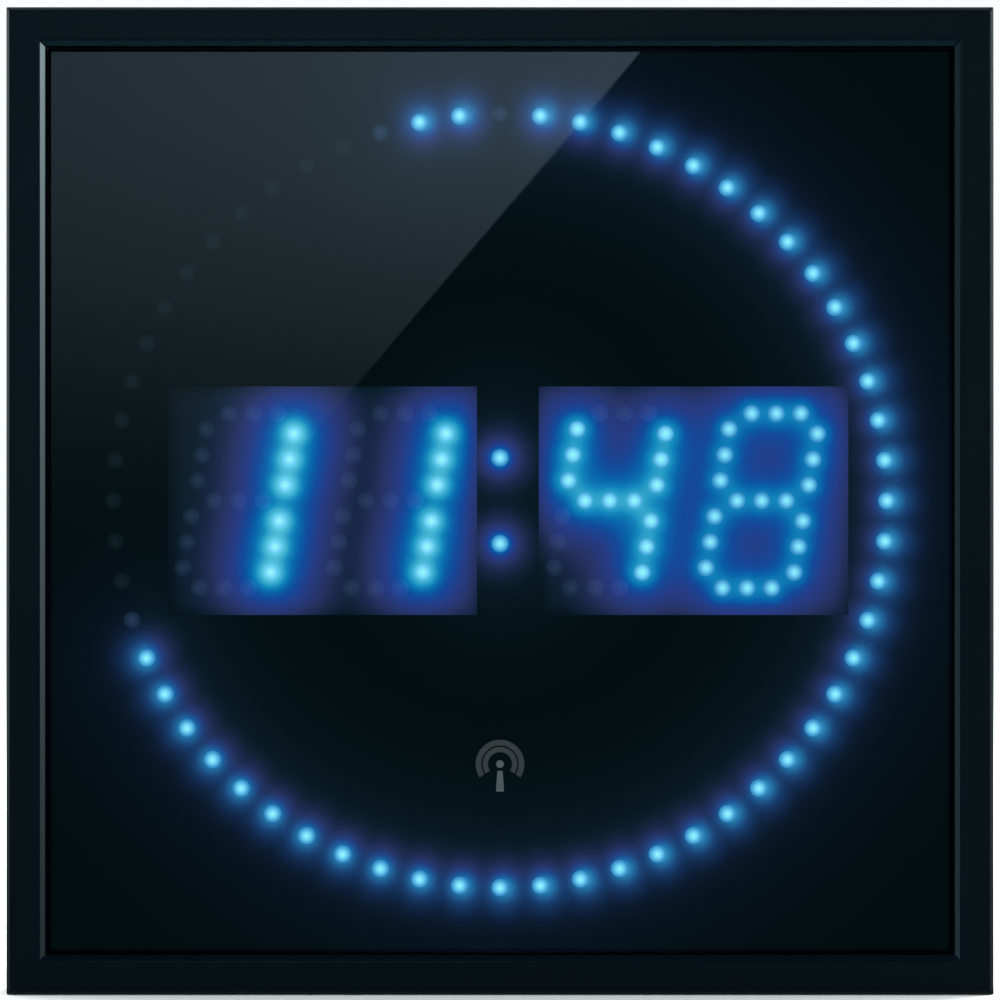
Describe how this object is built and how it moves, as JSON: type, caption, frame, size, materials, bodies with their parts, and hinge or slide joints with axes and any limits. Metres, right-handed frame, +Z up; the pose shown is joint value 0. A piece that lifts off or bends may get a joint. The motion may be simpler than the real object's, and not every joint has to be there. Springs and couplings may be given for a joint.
{
  "type": "led wall clock",
  "caption": "Square black wall clock: smoked front in a flat frame, a ring of blue dots for the seconds round dotted digits, and a plain rear cover with keyholes.",
  "frame": {"origin": "centre of the flat back that lies against the wall", "axes": "+Z up, front faces -Y, +Y into the wall, +X to the right seen from the front"},
  "size_m": [0.28, 0.03, 0.28],
  "materials": {
    "frame_plastic": "black moulded plastic, satin gloss with soft edges",
    "smoked_panel": "smoked dark sheet, polished, bevelled edge",
    "foam_tape": "black foam tape",
    "mask_plastic": "black light mask, matt",
    "housing_plastic": "black digit housing, matt face",
    "circuit_board": "green solder mask over glass-fibre laminate",
    "zinc_steel": "zinc plated screws",
    "cover_plastic": "black moulded plastic, fine spark texture",
    "black_screw": "blackened screws",
    "chip_epoxy": "black chip packages",
    "resistor_body": "dark resistor blocks",
    "capacitor_sleeve": "dark sleeved capacitors",
    "crystal_can": "drawn metal can",
    "jack_plastic": "black jack body",
    "contact_metal": "plated contact metal",
    "cell_steel": "stainless coin cell",
    "ferrite": "sintered ferrite rod",
    "copper_winding": "lacquered copper winding",
    "holder_plastic": "natural nylon holders",
    "switch_plastic": "black switch bodies",
    "plunger_plastic": "red switch plungers",
    "button_rubber": "charcoal rubber push buttons with plain signs",
    "light_lens": "clear blue light-emitting diodes"
  },
  "bodies": {
    "case": {"front_frame": "frame_plastic", "front_panel": "smoked_panel", "panel_tape": "foam_tape", "light_mask": "mask_plastic", "hour_housing": "housing_plastic", "minute_housing": "housing_plastic", "main_board": "circuit_board", "board_screws": "zinc_steel", "rear_cover": "cover_plastic", "case_screws": "black_screw", "controller_chip": "chip_epoxy", "driver_chips": "chip_epoxy", "resistor_blocks": "resistor_body", "filter_capacitors": "capacitor_sleeve", "voltage_regulator": "chip_epoxy", "clock_crystal": "crystal_can", "power_jack": "jack_plastic", "power_jack_pin": "contact_metal", "coin_cell": "cell_steel", "cell_plus_contact": "contact_metal", "cell_minus_contact": "contact_metal", "aerial_rod": "ferrite", "aerial_winding": "copper_winding", "aerial_holders": "holder_plastic", "receiver_board": "circuit_board", "receiver_pins": "contact_metal", "receiver_chip": "chip_epoxy", "switch_bodies": "switch_plastic", "ring_lights": "light_lens", "hour_tens_lights": "light_lens", "hour_units_lights": "light_lens", "minute_tens_lights": "light_lens", "minute_units_lights": "light_lens", "colon_lights": "light_lens"},
    "set_button": {"set_button": "button_rubber", "set_plunger": "plunger_plastic"},
    "plus_button": {"plus_button": "button_rubber", "plus_plunger": "plunger_plastic"},
    "minus_button": {"minus_button": "button_rubber", "minus_plunger": "plunger_plastic"},
    "radio_button": {"radio_button": "button_rubber", "radio_plunger": "plunger_plastic"},
    "battery_door": {"battery_door": "cover_plastic"}
  },
  "joints": [
    {"name": "set_press", "type": "slide", "parent": "case", "child": "set_button", "axis": [0, -1, 0], "range_m": [0, 0.0008], "stiffness_N_per_m": 300, "springref_m": -0.003},
    {"name": "plus_press", "type": "slide", "parent": "case", "child": "plus_button", "axis": [0, -1, 0], "range_m": [0, 0.0008], "stiffness_N_per_m": 300, "springref_m": -0.003},
    {"name": "minus_press", "type": "slide", "parent": "case", "child": "minus_button", "axis": [0, -1, 0], "range_m": [0, 0.0008], "stiffness_N_per_m": 300, "springref_m": -0.003},
    {"name": "radio_press", "type": "slide", "parent": "case", "child": "radio_button", "axis": [0, -1, 0], "range_m": [0, 0.0008], "stiffness_N_per_m": 300, "springref_m": -0.003},
    {"name": "battery_door_turn", "type": "hinge", "parent": "case", "child": "battery_door", "pos_m": [0.07, 0, -0.07], "axis": [0, 1, 0], "range_deg": [0, 45]}
  ]
}
